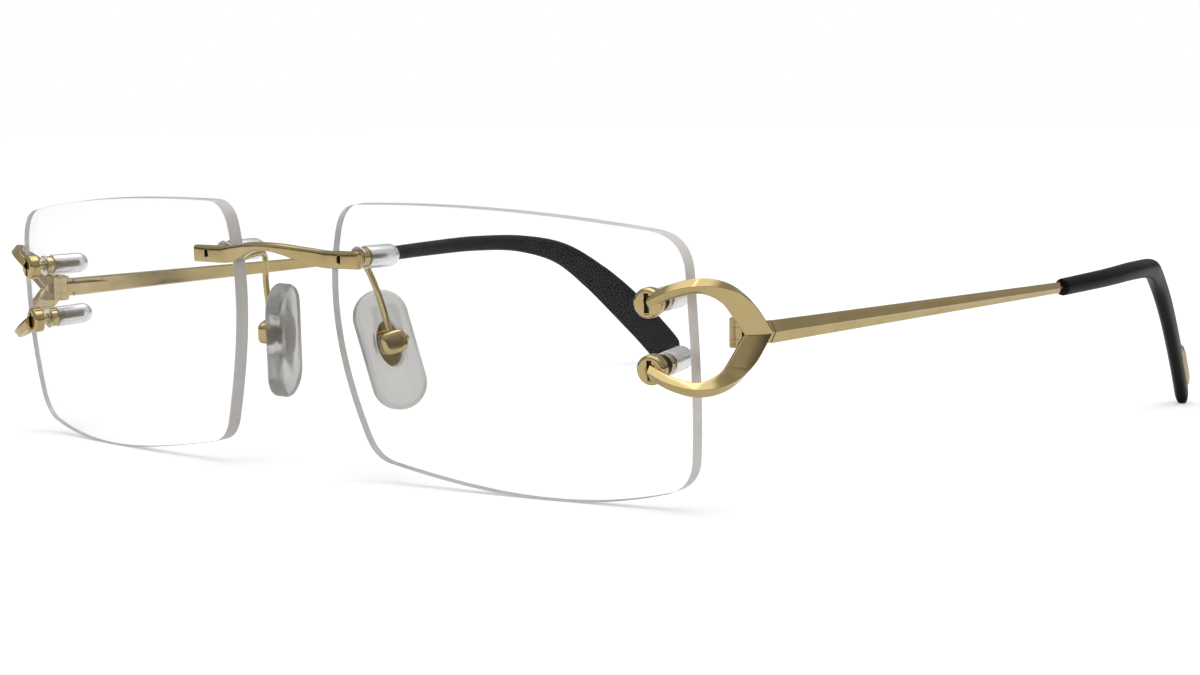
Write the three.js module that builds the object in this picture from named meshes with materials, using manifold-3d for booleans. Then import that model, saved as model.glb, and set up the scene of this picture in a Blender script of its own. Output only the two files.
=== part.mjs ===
// Rimless eyeglasses, in millimetres, +Z up.
// The wearer looks along -Y, the temples run back along +Y and the wearer's left side is at +X.
// The glasses stand as on a table, on the lower lens edges and the ends of the temple tips.
// Everything at one side is built once, for the left, and the right side is its mirror image.
import * as THREE from "three";
import { mergeVertices } from "three/addons/utils/BufferGeometryUtils.js";
import Module from "manifold-3d";

const wasm = await Module();
wasm.setup();

// ---- Driving dimensions ----

const GAP = 0.05; // between pieces that touch on the real object
const LENS_GAP = 0.12; // between the curved lens and what is clamped on it

// Lens: a curved plate in its own frame, with x outward, y back and z up from its centre
const LENS_CENTRE = [39.3, 1, 18.7];
const LENS_CURVE = 165;
const LENS_THICKNESS = 2;
const LENS_TILT = 4.6; // degrees that the top leans forward
const LENS_WRAP = 6.5; // degrees that the temple side is turned back
// Each side of the outline: the corner where it starts, how far it bows out a third and two thirds
// of the way along, and how much of it the rounding of that corner takes
const LENS_SIDES = [
  { corner: [-24.2, -15.8], bows: [3.6, 5.4], round: 3 }, // nasal side, going up
  { corner: [-27.5, 17.4], bows: [1.9, 2.1], round: 3 }, // top, going outward
  { corner: [26.2, 14.4], bows: [0.9, 1.6], round: 4.4 }, // temple side, going down
  { corner: [25.4, -16], bows: [5.1, 2.3], round: 3.2 }, // bottom, going inward
];

// Fixings: a stud through each of the three holes of a lens, with a washer, a nut and a cap behind
const HOLES = { nasal: [-26, 10.5], upper: [22, 6.7], lower: [22, -1.3] };
const HOLE_RADIUS = 0.75;
const STUD = { radius: 0.6, length: 8.2, into: 0.8 }; // into is how deep it goes in the metal in front
const WASHER = { radius: 1.5, thickness: 0.2 };
// The nut narrows to a neck at its shoulder and tapers on to its nose, and the cap's mouth fits over both.
const NUT = { radius: 1.35, neck: 1.12, nose: 0.95, thickness: 1.8, shoulder: 0.95 };
const CAP = { radius: 1.5, length: 5.4, bore: 4.2 };

// Bridge: a bar that arches forward and up between two lugs on the fronts of the lenses. The front of
// a lug is creased at the hole and falls away from it on both sides.
const LUG = {
  end: 16.4, inner: 9.8, y: -2.25, z: 29.15, back: 0.65, crease: 0.85, edge: 0.55, height: 2.3,
};
const BRIDGE_TOP = { y: -4.2, z: 30.6, thickness: 1.5, height: 1.2 };

// Nose pad, with its clasp, in a frame whose x points away from the nose and z up along the pad
const PAD_BOX_PLACE = [12.75, 7.4, 17.8];
const PAD_OUTWARD = [0.9, -0.42, 0.09];
const PAD_UPWARD = [-0.23, -0.16, 0.96];
const PAD = { width: 7.2, length: 16.3, outer: -0.9, inner: -3.4, drop: -1.05, edge: 0.5 };
const PAD_BOX = { depth: 2.3, width: 3.5, height: 3.1, slot: 0.96, slotHeight: 1.96 };
const PAD_CORE = { width: 3.6, height: 6.2, drop: -0.2, thickness: 0.6, eyelet: 0.85, stem: 0.9 };
const PAD_SCREW = { radius: 0.35, head: 0.62, headThickness: 0.4 };
const PAD_WIRE_RADIUS = 0.42;

// End piece: two arms that start at round bosses on the lens and meet in a point behind it.
// Its pattern is flat, z against distance round the corner of the lens, and PLAN bends it.
const END_HEIGHT = 21.35; // the height of its point and of the hinge
const PLAN = [[60, 1.9], [61.4, 2.2], [64.6, 2.9], [67.3, 4.5], [68.9, 7.6], [69.25, 11.5], [69.3, 16.35]];
const ARM_OUTER = [[1.75, 5.1], [4.8, 6.4], [8.2, 7.1], [12.2, 6.3], [16.2, 3.9], [20, 0]];
const ARM_INNER = [[1.75, 3.3], [4.8, 4.6], [8.2, 5.2], [10.9, 4.1], [12.9, 2.1], [14.8, 0]];
// An arm has an outer facet and a broad one either side of its ridge, and a narrow one along its inner
// edge. The ridge runs along its middle by the boss and close to its outer edge by the point.
const ARM = {
  ridge: 0.75, back: 0.75, backShare: 0.12, middle: 0.5, point: 0.14, bevel: 0.25, bevelShare: 0.14,
};
// The root carries the section of the temple bar on, under the arms, and narrows inward.
const ROOT = { front: 14.4, narrow: 0.9 };
const BOSS = { radius: 1.85, thickness: 1.5, rim: 0.3 };
// The slot for a screwdriver, with its length in a lug and in a boss
const DRIVER_SLOT = { width: 0.65, depth: 0.35, lug: 1, boss: 2.4 };

// Hinge: two knuckles on the end piece and one on the temple, round an upright screw
const HINGE = [66.75, 12.8];
const KNUCKLE = { radius: 1.1, bore: 0.55, middle: 0.7, top: 1.75 };
const HINGE_PLATE = { thickness: 0.5, front: 11.4, back: 15.2 };
const HINGE_SCREW = { radius: 0.5, head: 0.85, headThickness: 0.3 };
const LEAF = { thickness: 1.1, foot: 16.9, back: 21.5, height: 1.3 };

// Temple: a tapered bar with a ridge along its outer side, then a tip over a core wire. The leaf of
// the hinge lies in a seat in the bar's inner side.
const TEMPLE_START = [68.9, 16.45, 21.3];
const TEMPLE_END = [69.15, 80.8, 22.7];
const BAR = { startHeight: 2.8, endHeight: 1.5, ridge: 0.75, back: 0.65, seat: 0.12 };
const TIP_ROUTE = [
  [69.15, 80.9, 22.7], [68.8, 93, 23.3], [67.4, 103, 23.7], [64.8, 112, 23.3], [61.7, 119.2, 21.3],
  [59.3, 126, 16.6], [57.3, 131.6, 11.5], [55.4, 136.8, 6.1], [53.7, 141.4, 0.75],
];
const TIP = { start: 2.4, bend: 2.7, paddle: 6, thickness: 2.2, turn: 35 };
const CORE_WIRE = { radius: 0.5, bore: 0.62, share: 0.92 };
const INLAY = { at: 0.895, width: 3, length: 9.4, depth: 0.25, proud: 0.55 };

// ---- Materials ----

const gold = new THREE.MeshStandardMaterial({ color: 0xcdb886, roughness: 0.22, metalness: 1 });
const clear = new THREE.MeshStandardMaterial({ color: 0xe6e6e2, roughness: 0.2, metalness: 0 });
const lensMaterial = new THREE.MeshStandardMaterial({ color: 0xdfe5e4, roughness: 0.05, metalness: 0 });
const frosted = new THREE.MeshStandardMaterial({ color: 0xd6d4ce, roughness: 0.5, metalness: 0 });
const black = new THREE.MeshStandardMaterial({ color: 0x161616, roughness: 0.3, metalness: 0 });

// ---- Geometry helpers ----

const at = (x, y, z) => new THREE.Vector3(x, y, z);
const radians = THREE.MathUtils.degToRad;
const blend = THREE.MathUtils.lerp;

// The geometry with its faces turned outward and its shared vertices merged.
function closed(geometry) {
  const plain = geometry.index ? geometry.toNonIndexed() : geometry.clone();
  plain.deleteAttribute("normal");
  plain.deleteAttribute("uv");
  const p = plain.attributes.position;
  let volume = 0;
  for (let i = 0; i < p.count; i += 3) {
    const [a, b, c] = [0, 1, 2].map((k) => at().fromBufferAttribute(p, i + k));
    volume += a.dot(b.cross(c));
  }
  const merged = mergeVertices(plain, 1e-4);
  if (volume < 0) merged.index.array.reverse();
  return merged;
}

// A closed skin over a row of rings of points, with a fan over each end.
function skin(rings) {
  const positions = [];
  const triangle = (...corners) => corners.forEach((c) => positions.push(c.x, c.y, c.z));
  const next = (ring, i) => ring[(i + 1) % ring.length];
  const middle = (ring) => ring.reduce((sum, p) => sum.add(p), at(0, 0, 0)).divideScalar(ring.length);
  rings.slice(1).forEach((ring, r) => {
    const before = rings[r];
    ring.forEach((p, i) => {
      triangle(before[i], next(before, i), next(ring, i));
      triangle(before[i], next(ring, i), p);
    });
  });
  const [first, last] = [rings[0], rings.at(-1)];
  first.forEach((p, i) => triangle(middle(first), next(first, i), p));
  last.forEach((p, i) => triangle(middle(last), p, next(last, i)));
  const geometry = new THREE.BufferGeometry();
  geometry.setAttribute("position", new THREE.Float32BufferAttribute(positions, 3));
  return closed(geometry);
}

// A section swept along a curve. facing(t) is the direction that the section's first axis keeps
// towards, and section(t) is its outline as pairs along that axis and across it.
function sweep(curve, steps, facing, section) {
  const rings = [];
  for (let i = 0; i <= steps; i++) {
    const t = i / steps;
    const centre = curve.getPointAt(t);
    const across = curve.getTangentAt(t).cross(facing(t)).normalize();
    const out = across.clone().cross(curve.getTangentAt(t)).normalize();
    const place = ([p, q]) => centre.clone().addScaledVector(out, p).addScaledVector(across, q);
    rings.push(section(t).map(place));
  }
  return skin(rings);
}

// An oval of the given full width and height, with squareness 1 for an ellipse and more for a pad shape.
function oval(width, height, sides, squareness = 1) {
  const bend = (v) => Math.sign(v) * Math.abs(v) ** (1 / squareness);
  return Array.from({ length: sides }, (_, i) => {
    const angle = ((i + 0.5) / sides) * 2 * Math.PI;
    return [(width / 2) * bend(Math.cos(angle)), (height / 2) * bend(Math.sin(angle))];
  });
}

function solid(geometry) {
  const merged = closed(geometry);
  const mesh = { numProp: 3, vertProperties: merged.attributes.position.array };
  return new wasm.Manifold(new wasm.Mesh({ ...mesh, triVerts: new Uint32Array(merged.index.array) }));
}

function geometryOf(manifold) {
  const mesh = manifold.getMesh();
  const geometry = new THREE.BufferGeometry();
  geometry.setAttribute("position", new THREE.BufferAttribute(new Float32Array(mesh.vertProperties), 3));
  geometry.setIndex(new THREE.BufferAttribute(new Uint32Array(mesh.triVerts), 1));
  return geometry;
}

const cut = (body, ...tools) =>
  geometryOf(tools.reduce((rest, tool) => rest.subtract(solid(tool)), solid(body)));
const join = (body, ...others) =>
  geometryOf(others.reduce((sum, other) => sum.add(solid(other)), solid(body)));

const box = (low, high) => {
  const size = high.map((h, i) => h - low[i]);
  return new THREE.BoxGeometry(...size).translate(...high.map((h, i) => (h + low[i]) / 2));
};

// A solid of revolution about the y axis, from pairs of radius and place along the axis.
const turned = (profile, sides = 16) =>
  closed(new THREE.LatheGeometry(profile.map(([r, y]) => new THREE.Vector2(r, y)), sides));

const rod = (radius, from, to, sides = 16) =>
  turned([[0, from], [radius, from], [radius, to], [0, to]], sides);

const upright = (geometry) => geometry.rotateX(Math.PI / 2);

// A ring is a closed profile, so the first pair comes again at the end.
const ring = (inner, outer, from, to, sides = 16) =>
  turned([[inner, from], [outer, from], [outer, to], [inner, to], [inner, from]], sides);

function mesh(name, geometry, material) {
  const made = new THREE.Mesh(geometry, material);
  made.name = name;
  return made;
}

// ---- Frames that the left side's parts share ----

const lensPlace = new THREE.Matrix4()
  .makeRotationFromEuler(new THREE.Euler(radians(LENS_TILT), 0, radians(LENS_WRAP), "ZYX"))
  .setPosition(...LENS_CENTRE);

const sag = (u, v) => LENS_CURVE - Math.sqrt(LENS_CURVE ** 2 - u * u - v * v);

// The frame of the fixing at a hole, inside the lens frame: y runs back along the stud from the lens front.
function holePlace([u, v]) {
  const back = at(-u, LENS_CURVE - sag(u, v), -v).normalize();
  const turn = new THREE.Quaternion().setFromUnitVectors(at(0, 1, 0), back);
  const place = at(u, sag(u, v) - LENS_THICKNESS / 2, v);
  return new THREE.Matrix4().compose(place, turn, at(1, 1, 1));
}

const holeInGlasses = (hole) => lensPlace.clone().multiply(holePlace(hole));

function padPlace() {
  const x = at(...PAD_OUTWARD).normalize();
  const y = at(...PAD_UPWARD).cross(x).normalize();
  return new THREE.Matrix4().makeBasis(x, y, x.clone().cross(y)).setPosition(...PAD_BOX_PLACE);
}

const tipCurve = new THREE.CatmullRomCurve3(TIP_ROUTE.map((p) => at(...p)));
const tipFacing = (t) => {
  const turn = radians(TIP.turn) * THREE.MathUtils.smoothstep(t, 0.15, 0.6);
  return at(Math.cos(turn), Math.sin(turn), 0);
};

// ---- The pieces ----

function lensOutline() {
  const corners = LENS_SIDES.map((side) => new THREE.Vector2(...side.corner));
  const sides = LENS_SIDES.map((side, i) => {
    const [from, to] = [corners[i], corners[(i + 1) % corners.length]];
    const along = to.clone().sub(from);
    const out = new THREE.Vector2(-along.y, along.x).normalize();
    const [a, b] = side.bows.map((bow, k) => from.clone().lerp(to, (k + 1) / 3).addScaledVector(out, bow));
    return new THREE.CubicBezierCurve(from, a, b, to);
  });
  const points = [];
  sides.forEach((side, i) => {
    const length = side.getLength();
    const following = (i + 1) % sides.length;
    const start = LENS_SIDES[i].round / length;
    const end = 1 - LENS_SIDES[following].round / length;
    for (let k = 0; k < 12; k++) points.push(side.getPoint(blend(start, end, k / 12)));
    const after = sides[following].getPoint(LENS_SIDES[following].round / sides[following].getLength());
    const corner = new THREE.QuadraticBezierCurve(side.getPoint(end), corners[following], after);
    points.push(...corner.getPoints(5).slice(0, -1));
  });
  return points;
}

function lensGeometry() {
  const outline = lensOutline();
  const layer = (scale, depth) =>
    outline.map((p) => at(p.x * scale, sag(p.x * scale, p.y * scale) + depth, p.y * scale));
  const half = LENS_THICKNESS / 2;
  const scales = [0.25, 0.5, 0.75, 1];
  const front = scales.map((scale) => layer(scale, -half));
  const back = scales.map((scale) => layer(scale, half));
  const plate = skin([...front, ...back.reverse()]);
  const drills = Object.values(HOLES).map((hole) =>
    rod(HOLE_RADIUS, -2, LENS_THICKNESS + 2).applyMatrix4(holePlace(hole)));
  return cut(plate, ...drills);
}

// The parts of one fixing, in the frame of its hole.
function fixing(side, place) {
  const washerFrom = LENS_THICKNESS + LENS_GAP;
  const nutFrom = washerFrom + WASHER.thickness + GAP;
  const nutEnd = nutFrom + NUT.thickness;
  const capFrom = nutFrom + NUT.shoulder + GAP;
  const capEnd = capFrom + CAP.length;
  const dome = [0, 30, 60].map((angle) => [
    CAP.radius * Math.cos(radians(angle)),
    capEnd - CAP.radius + CAP.radius * Math.sin(radians(angle)),
  ]);
  const cap = turned([
    [0, capFrom + CAP.bore], [HOLE_RADIUS, capFrom + CAP.bore], [HOLE_RADIUS, nutEnd + GAP],
    [NUT.nose + GAP, nutEnd + GAP], [NUT.neck + GAP, capFrom], [CAP.radius, capFrom], ...dome, [0, capEnd],
  ]);
  const washer = ring(HOLE_RADIUS, WASHER.radius, washerFrom, washerFrom + WASHER.thickness);
  const nut = turned([
    [HOLE_RADIUS, nutFrom], [NUT.radius, nutFrom], [NUT.radius, nutFrom + NUT.shoulder],
    [NUT.neck, nutFrom + NUT.shoulder], [NUT.nose, nutEnd], [HOLE_RADIUS, nutEnd], [HOLE_RADIUS, nutFrom],
  ]);
  return [
    mesh(`${side}_${place}_stud`, rod(STUD.radius, -STUD.into, STUD.length - STUD.into, 12), gold),
    mesh(`${side}_${place}_washer`, washer, clear),
    mesh(`${side}_${place}_nut`, nut, gold),
    mesh(`${side}_${place}_cap`, cap, clear),
  ];
}

// The blind hole that a stud is screwed into, in the frame of the glasses.
const studHole = (hole) => rod(HOLE_RADIUS - GAP, -STUD.into - GAP, 1).applyMatrix4(holeInGlasses(hole));

// The slot for a screwdriver across the front of a fixing, cut at a depth in the frame of its hole.
function driverSlot(hole, front, length) {
  const half = DRIVER_SLOT.width / 2;
  return box([-half, front - 1, -length / 2], [half, front + DRIVER_SLOT.depth, length / 2])
    .applyMatrix4(holeInGlasses(hole));
}

function bridgeGeometry() {
  const half = [
    at(LUG.end, LUG.y, LUG.z),
    at((LUG.end + LUG.inner) / 2, LUG.y, LUG.z),
    at(LUG.inner, LUG.y, LUG.z),
    at(LUG.inner * 0.62, blend(LUG.y, BRIDGE_TOP.y, 0.4), blend(LUG.z, BRIDGE_TOP.z, 0.4)),
    at(LUG.inner * 0.3, blend(LUG.y, BRIDGE_TOP.y, 0.85), blend(LUG.z, BRIDGE_TOP.z, 0.85)),
  ];
  const other = half.map((p) => at(-p.x, p.y, p.z)).reverse();
  const curve = new THREE.CatmullRomCurve3([...half, at(0, BRIDGE_TOP.y, BRIDGE_TOP.z), ...other]);
  const crease = at().setFromMatrixPosition(holeInGlasses(HOLES.nasal)).x;
  const section = (t) => {
    const x = Math.abs(curve.getPointAt(t).x);
    const share = THREE.MathUtils.smoothstep(x, 0, LUG.inner);
    const fall = Math.min(Math.abs(x - crease) / (LUG.end - crease), 1);
    const front = blend(BRIDGE_TOP.thickness / 2, blend(LUG.crease, LUG.edge, fall), share);
    const back = blend(BRIDGE_TOP.thickness / 2, LUG.back, share);
    return oval(2, blend(BRIDGE_TOP.height, LUG.height, share), 12, blend(1, 2.4, share))
      .map(([p, q]) => [p * (p > 0 ? front : back), q]);
  };
  const bar = sweep(curve, 44, () => at(0, -1, 0), section);
  const right = new THREE.Matrix4().makeScale(-1, 1, 1);
  const tools = [studHole(HOLES.nasal), driverSlot(HOLES.nasal, -LUG.back - LUG.crease, DRIVER_SLOT.lug)];
  return cut(bar, ...tools, ...tools.map((tool) => tool.clone().applyMatrix4(right)));
}

function endPieceGeometry() {
  const plan = new THREE.CatmullRomCurve3(PLAN.map(([x, y]) => at(x, y, END_HEIGHT)));
  const length = plan.getLength();
  // A place on the bent pattern: distance along it, height from its middle, and how far proud.
  const bent = (s, z, proud) => {
    const t = Math.min(s / length, 1);
    const out = plan.getTangentAt(t).cross(at(0, 0, 1));
    return plan.getPointAt(t).addScaledVector(out, proud).add(at(0, 0, z));
  };
  const [outer, inner] = [ARM_OUTER, ARM_INNER].map(
    (points) => new THREE.SplineCurve(points.map((p) => new THREE.Vector2(...p))));
  const rings = [];
  const steps = 14;
  for (let i = -steps; i <= steps; i++) {
    const t = 1 - Math.abs(i) / steps;
    const side = i < 0 ? 1 : -1;
    const [o, n] = [outer.getPoint(t), inner.getPoint(t)];
    const ridge = blend(ARM.middle, ARM.point, THREE.MathUtils.smoothstep(t, 0.35, 0.8));
    const places = [
      [o, 0], [o.clone().lerp(n, ridge), ARM.ridge], [n.clone().lerp(o, ARM.bevelShare), ARM.bevel], [n, 0],
      [n.clone().lerp(o, ARM.backShare), -ARM.back], [o.clone().lerp(n, ARM.backShare), -ARM.back],
    ];
    rings.push(places.map(([p, proud]) => bent(p.x, side * p.y, proud)));
  }
  // Behind the point a root with the section of the temple bar carries on to the bar's end.
  const [rootX, half] = [TEMPLE_START[0], BAR.startHeight / 2];
  const rootBack = PLAN.at(-1)[0] - ARM.back;
  const rootSection = [
    [rootX + BAR.ridge, 0], [rootX, half], [rootBack, half * ROOT.narrow],
    [rootBack, -half * ROOT.narrow], [rootX, -half],
  ];
  const root = skin([ROOT.front, PLAN.at(-1)[1]].map((y) =>
    rootSection.map(([x, z]) => at(x, y, END_HEIGHT + z))));
  const front = -LENS_GAP - BOSS.thickness;
  const holes = [HOLES.upper, HOLES.lower];
  const bosses = holes.map((hole) => turned([
    [0, front], [BOSS.radius - BOSS.rim, front], [BOSS.radius, front + BOSS.rim],
    [BOSS.radius, -LENS_GAP], [0, -LENS_GAP],
  ], 24).applyMatrix4(holeInGlasses(hole)));
  const slots = holes.map((hole) => driverSlot(hole, front, DRIVER_SLOT.boss));
  return cut(join(skin(rings), root, ...bosses), ...holes.map(studHole), ...slots);
}

const onHinge = (geometry) => upright(geometry).translate(HINGE[0], HINGE[1], END_HEIGHT);

// The two outer knuckles, each with a web to the plate behind the end piece.
function hingeBlockGeometry() {
  const plateOuter = PLAN.at(-1)[0] - ARM.back - 2 * GAP;
  const plateInner = plateOuter - HINGE_PLATE.thickness;
  const low = END_HEIGHT - KNUCKLE.top;
  const high = END_HEIGHT + KNUCKLE.top;
  const plate = box([plateInner, HINGE_PLATE.front, low], [plateOuter, HINGE_PLATE.back, high]);
  const from = KNUCKLE.middle + GAP;
  const parts = [-1, 1].flatMap((side) => {
    const heights = [side * from, side * KNUCKLE.top].sort((a, b) => a - b);
    const web = box(
      [HINGE[0], HINGE[1] - KNUCKLE.radius * 0.8, END_HEIGHT + heights[0]],
      [plateInner + 0.1, HINGE[1] + KNUCKLE.radius * 0.8, END_HEIGHT + heights[1]]);
    return [onHinge(rod(KNUCKLE.radius, -heights[1], -heights[0])), web];
  });
  return cut(join(plate, ...parts), onHinge(rod(KNUCKLE.bore, -5, 5, 12)));
}

// The middle knuckle and the leaf that joins it to the inner side of the temple bar.
function templeKnuckleGeometry() {
  const half = LEAF.height / 2;
  const inner = HINGE[0] - LEAF.thickness / 2;
  const foot = TEMPLE_START[0] - BAR.back + BAR.seat - GAP;
  const arm = box(
    [inner, HINGE[1], END_HEIGHT - half],
    [inner + LEAF.thickness, LEAF.back, END_HEIGHT + half]);
  const pad = box([inner, LEAF.foot, END_HEIGHT - half], [foot, LEAF.back, END_HEIGHT + half]);
  const knuckle = onHinge(rod(KNUCKLE.radius, -KNUCKLE.middle, KNUCKLE.middle));
  return cut(join(knuckle, arm, pad), onHinge(rod(KNUCKLE.bore, -5, 5, 12)));
}

function hingeScrewGeometry() {
  const top = KNUCKLE.top + GAP;
  const profile = [
    [0, -KNUCKLE.top], [HINGE_SCREW.radius, -KNUCKLE.top], [HINGE_SCREW.radius, top],
    [HINGE_SCREW.head, top], [HINGE_SCREW.head * 0.8, top + HINGE_SCREW.headThickness],
    [0, top + HINGE_SCREW.headThickness],
  ];
  return onHinge(turned(profile, 12));
}

function templeBarGeometry() {
  const line = new THREE.LineCurve3(at(...TEMPLE_START), at(...TEMPLE_END));
  const bar = sweep(line, 1, () => at(1, 0, 0), (t) => {
    const half = blend(BAR.startHeight, BAR.endHeight, t) / 2;
    return [[BAR.ridge, 0], [0, half], [-BAR.back, half * 0.8], [-BAR.back, -half * 0.8], [0, -half]];
  });
  const seat = TEMPLE_START[0] - BAR.back + BAR.seat;
  return cut(bar, box([seat - 1, 0, 0], [seat, LEAF.back + 2 * GAP, 2 * END_HEIGHT]));
}

function tipGeometries() {
  const section = (t) => {
    const grow = THREE.MathUtils.smoothstep(t, 0.35, 0.85);
    const width = blend(blend(TIP.start, TIP.bend, Math.min(t / 0.35, 1)), TIP.paddle, grow);
    const round = Math.sqrt(1 - Math.max((t - 0.965) / 0.035, 0) ** 2 * 0.9);
    return oval(blend(TIP.start, TIP.thickness, grow) * round, width * round, 14, blend(1, 1.5, grow));
  };
  const round = (radius) => () => oval(2 * radius, 2 * radius, 8);
  // The middle line of the wire, over a share of the tip, starting so far ahead of it.
  const wireCurve = (share, lead) => {
    const points = tipCurve.getSpacedPoints(24).slice(0, Math.round(24 * share) + 1);
    points[0].y -= lead;
    return new THREE.CatmullRomCurve3(points);
  };
  const tip = sweep(tipCurve, 26, tipFacing, section);
  const bore = sweep(wireCurve(CORE_WIRE.share + 0.04, 1), 20, () => at(1, 0, 0), round(CORE_WIRE.bore));
  const wire = sweep(wireCurve(CORE_WIRE.share, 0), 20, () => at(1, 0, 0), round(CORE_WIRE.radius));
  return { tip: cut(tip, bore), wire };
}

// The oval inlay near the end of the tip, in a frame whose y points out of the tip's outer face.
function inlayPlace() {
  const out = tipFacing(INLAY.at);
  const along = tipCurve.getTangentAt(INLAY.at);
  const across = along.clone().cross(out).normalize();
  const y = across.clone().cross(along).normalize();
  const place = tipCurve.getPointAt(INLAY.at).addScaledVector(y, TIP.thickness / 2);
  return new THREE.Matrix4().makeBasis(y.clone().cross(along), y, along).setPosition(place);
}

function ovalPlate(width, length, from, to, sides) {
  const layer = (y) => oval(width, length, sides).map(([x, z]) => at(x, y, z));
  return skin([layer(from), layer(to)]);
}

function padWireGeometry() {
  const boxTop = at(0, 0, PAD_BOX.height / 2 + GAP).applyMatrix4(padPlace());
  const up = at(...PAD_UPWARD);
  const curve = new THREE.CatmullRomCurve3([
    at(9.3, LUG.y + LUG.back + 4 * GAP, 28.4), at(9.15, -0.3, 28.6), at(8.95, 1.5, 29), at(9.3, 3.3, 29.1),
    at(10.2, 4.7, 28.3), at(11.45, 5.85, 24.8), boxTop.clone().addScaledVector(up, 1.5), boxTop,
  ]);
  return sweep(curve, 26, () => at(1, 0, 0), () => oval(2 * PAD_WIRE_RADIUS, 2 * PAD_WIRE_RADIUS, 8));
}

function padBoxGeometry() {
  const [x, y, z] = [PAD_BOX.depth / 2, PAD_BOX.width / 2, PAD_BOX.height / 2];
  const layer = (place, scale) =>
    oval(2 * y * scale, 2 * z * scale, 16, 1.8).map(([p, q]) => at(place, p, q));
  const block = skin([layer(-x, 0.85), layer(-x * 0.7, 1), layer(x * 0.6, 1), layer(x, 0.7)]);
  const slot = box(
    [-x - 1, -PAD_BOX.slot / 2, -PAD_BOX.slotHeight / 2],
    [x * 0.84, PAD_BOX.slot / 2, PAD_BOX.slotHeight / 2]);
  return cut(block, slot, rod(PAD_SCREW.radius + GAP, -5, 5, 12));
}

function padScrewGeometry() {
  const half = PAD_BOX.width / 2;
  return turned([
    [0, -half], [PAD_SCREW.radius, -half], [PAD_SCREW.radius, half + GAP],
    [PAD_SCREW.head, half + GAP], [PAD_SCREW.head * 0.7, half + GAP + PAD_SCREW.headThickness],
    [0, half + GAP + PAD_SCREW.headThickness],
  ], 12);
}

function padCoreGeometry() {
  const thick = PAD_BOX.slot - 4 * GAP;
  const plateTo = PAD.inner + PAD.edge + 2 * GAP + PAD_CORE.thickness;
  const plate = ovalPlate(PAD_CORE.width, PAD_CORE.height, 0, PAD_CORE.thickness, 20)
    .rotateZ(-Math.PI / 2).translate(plateTo - PAD_CORE.thickness, 0, PAD_CORE.drop);
  const stem = box(
    [plateTo - 0.1, -thick / 2, -PAD_CORE.stem / 2],
    [0, thick / 2, PAD_CORE.stem / 2]);
  const eyelet = rod(PAD_CORE.eyelet, -thick / 2, thick / 2);
  return cut(join(plate, stem, eyelet), rod(PAD_SCREW.radius + GAP, -5, 5, 12));
}

function nosePadGeometry() {
  const straight = (PAD.length - PAD.width) / 2;
  const layer = (place, inset) => {
    const radius = PAD.width / 2 - inset;
    return Array.from({ length: 28 }, (_, i) => {
      const angle = ((i + 0.5) / 28) * 2 * Math.PI;
      const end = Math.sign(Math.sin(angle)) * straight + PAD.drop;
      return at(place, radius * Math.cos(angle), radius * Math.sin(angle) + end);
    });
  };
  const body = skin([
    layer(PAD.outer, PAD.edge), layer(PAD.outer - PAD.edge, 0),
    layer(PAD.inner + PAD.edge, 0), layer(PAD.inner, PAD.edge),
  ]);
  const pocket = ovalPlate(PAD_CORE.width + 4 * GAP, PAD_CORE.height + 4 * GAP, 0, 5, 20)
    .rotateZ(-Math.PI / 2).translate(PAD.inner + PAD.edge + GAP, 0, PAD_CORE.drop);
  return cut(body, pocket);
}

// ---- The assembly ----

function placed(matrix, meshes) {
  const group = new THREE.Group();
  matrix.decompose(group.position, group.quaternion, group.scale);
  return group.add(...meshes);
}

function sideOf(side) {
  const holes = Object.entries(HOLES).map(([place, hole]) => placed(holePlace(hole), fixing(side, place)));
  const tip = tipGeometries();
  const pocket = ovalPlate(INLAY.width + 4 * GAP, INLAY.length + 4 * GAP, -INLAY.depth - GAP, 2, 20);
  const inlay = ovalPlate(INLAY.width, INLAY.length, -INLAY.depth, INLAY.proud, 20);
  return new THREE.Group().add(
    placed(lensPlace, [mesh(`${side}_lens`, lensGeometry(), lensMaterial), ...holes]),
    mesh(`${side}_end_piece`, endPieceGeometry(), gold),
    mesh(`${side}_hinge_block`, hingeBlockGeometry(), gold),
    mesh(`${side}_hinge_screw`, hingeScrewGeometry(), gold),
    mesh(`${side}_temple_knuckle`, templeKnuckleGeometry(), gold),
    mesh(`${side}_temple_bar`, templeBarGeometry(), gold),
    mesh(`${side}_temple_core_wire`, tip.wire, gold),
    mesh(`${side}_temple_tip`, cut(tip.tip, pocket.applyMatrix4(inlayPlace())), black),
    placed(inlayPlace(), [mesh(`${side}_tip_inlay`, inlay, gold)]),
    mesh(`${side}_pad_wire`, padWireGeometry(), gold),
    placed(padPlace(), [
      mesh(`${side}_pad_box`, padBoxGeometry(), gold),
      mesh(`${side}_pad_screw`, padScrewGeometry(), gold),
      mesh(`${side}_pad_core`, padCoreGeometry(), gold),
      mesh(`${side}_nose_pad`, nosePadGeometry(), frosted),
    ]),
  );
}

const left = sideOf("left");
const right = sideOf("right");
right.scale.x = -1;

const glasses = new THREE.Group().add(mesh("bridge", bridgeGeometry(), gold), left, right);

// The origin is under the middle of the whole, on the surface that the glasses stand on.
const bounds = new THREE.Box3().setFromObject(glasses, true);
glasses.position.set(0, -(bounds.min.y + bounds.max.y) / 2, -bounds.min.z);

export default glasses;
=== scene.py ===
import math

import bpy
import numpy as np
from mathutils import Matrix, Vector


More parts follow.
